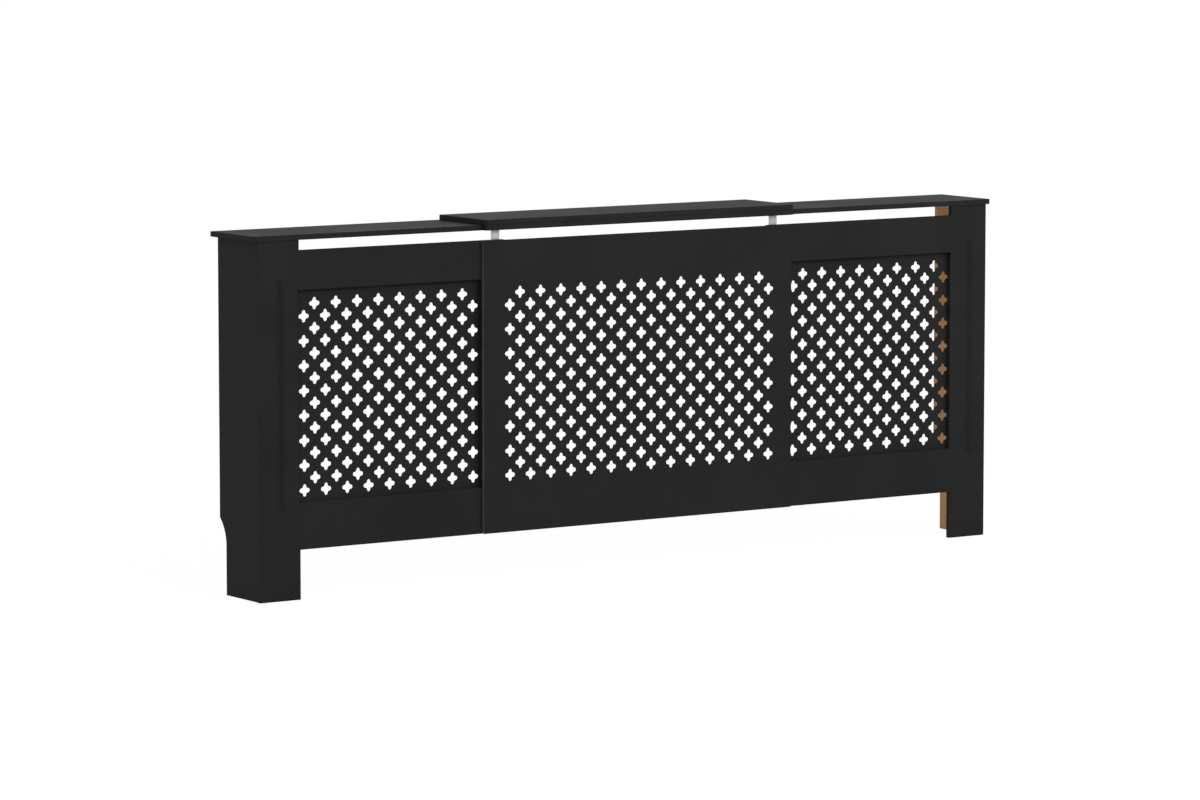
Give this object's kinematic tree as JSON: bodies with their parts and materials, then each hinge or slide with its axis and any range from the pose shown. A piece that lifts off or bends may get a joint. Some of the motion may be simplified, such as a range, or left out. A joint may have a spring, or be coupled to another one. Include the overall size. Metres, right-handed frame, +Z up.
{
  "type": "radiator cover cabinet",
  "caption": "Extending radiator cover: end units with clover lattice windows slide behind and under a middle lattice panel and top board.",
  "frame": {"origin": "centre of the footprint, on the floor, with the cover fully drawn out", "axes": "+X along the front to the viewer's right, +Y from the room to the wall, +Z up"},
  "size_m": [2.05, 0.209, 0.8277],
  "materials": {
    "black_painted_mdf": "satin black paint on MDF, faintly textured",
    "zinc_steel": "zinc-plated pressed steel",
    "anodised_aluminium": "satin anodised extrusion"
  },
  "bodies": {
    "middle_unit": {"middle_front_panel": "black_painted_mdf", "middle_end_strip_left": "black_painted_mdf", "middle_end_strip_right": "black_painted_mdf", "middle_upper_channel": "anodised_aluminium", "middle_lower_channel": "anodised_aluminium", "middle_top_board": "black_painted_mdf", "middle_top_lip": "black_painted_mdf"},
    "left_unit": {"left_front_frame": "black_painted_mdf", "left_lattice_panel": "black_painted_mdf", "left_side_board": "black_painted_mdf", "left_top_board": "black_painted_mdf", "left_rail_bracket": "zinc_steel", "left_rail_bracket_screw_low": "zinc_steel", "left_rail_bracket_screw_top": "zinc_steel", "left_top_bracket": "zinc_steel", "left_top_bracket_screw_side": "zinc_steel", "left_top_bracket_screw_top": "zinc_steel", "left_upper_corner_bracket": "zinc_steel", "left_upper_corner_screw_front": "zinc_steel", "left_upper_corner_screw_side": "zinc_steel", "left_lower_corner_bracket": "zinc_steel", "left_lower_corner_screw_front": "zinc_steel", "left_lower_corner_screw_side": "zinc_steel", "left_wall_bracket": "zinc_steel", "left_wall_bracket_screw": "zinc_steel", "left_upper_guide_bolt": "zinc_steel", "left_upper_wing_nut": "zinc_steel", "left_lower_guide_bolt": "zinc_steel", "left_lower_wing_nut": "zinc_steel"},
    "right_unit": {"right_front_frame": "black_painted_mdf", "right_lattice_panel": "black_painted_mdf", "right_side_board": "black_painted_mdf", "right_top_board": "black_painted_mdf", "right_rail_bracket": "zinc_steel", "right_rail_bracket_screw_low": "zinc_steel", "right_rail_bracket_screw_top": "zinc_steel", "right_top_bracket": "zinc_steel", "right_top_bracket_screw_side": "zinc_steel", "right_top_bracket_screw_top": "zinc_steel", "right_upper_corner_bracket": "zinc_steel", "right_upper_corner_screw_front": "zinc_steel", "right_upper_corner_screw_side": "zinc_steel", "right_lower_corner_bracket": "zinc_steel", "right_lower_corner_screw_front": "zinc_steel", "right_lower_corner_screw_side": "zinc_steel", "right_wall_bracket": "zinc_steel", "right_wall_bracket_screw": "zinc_steel", "right_upper_guide_bolt": "zinc_steel", "right_upper_wing_nut": "zinc_steel", "right_lower_guide_bolt": "zinc_steel", "right_lower_wing_nut": "zinc_steel"}
  },
  "joints": [
    {"name": "left_unit_slide", "type": "slide", "parent": "middle_unit", "child": "left_unit", "axis": [1, 0, 0], "range_m": [0, 0.325]},
    {"name": "right_unit_slide", "type": "slide", "parent": "middle_unit", "child": "right_unit", "axis": [-1, 0, 0], "range_m": [0, 0.325]}
  ]
}
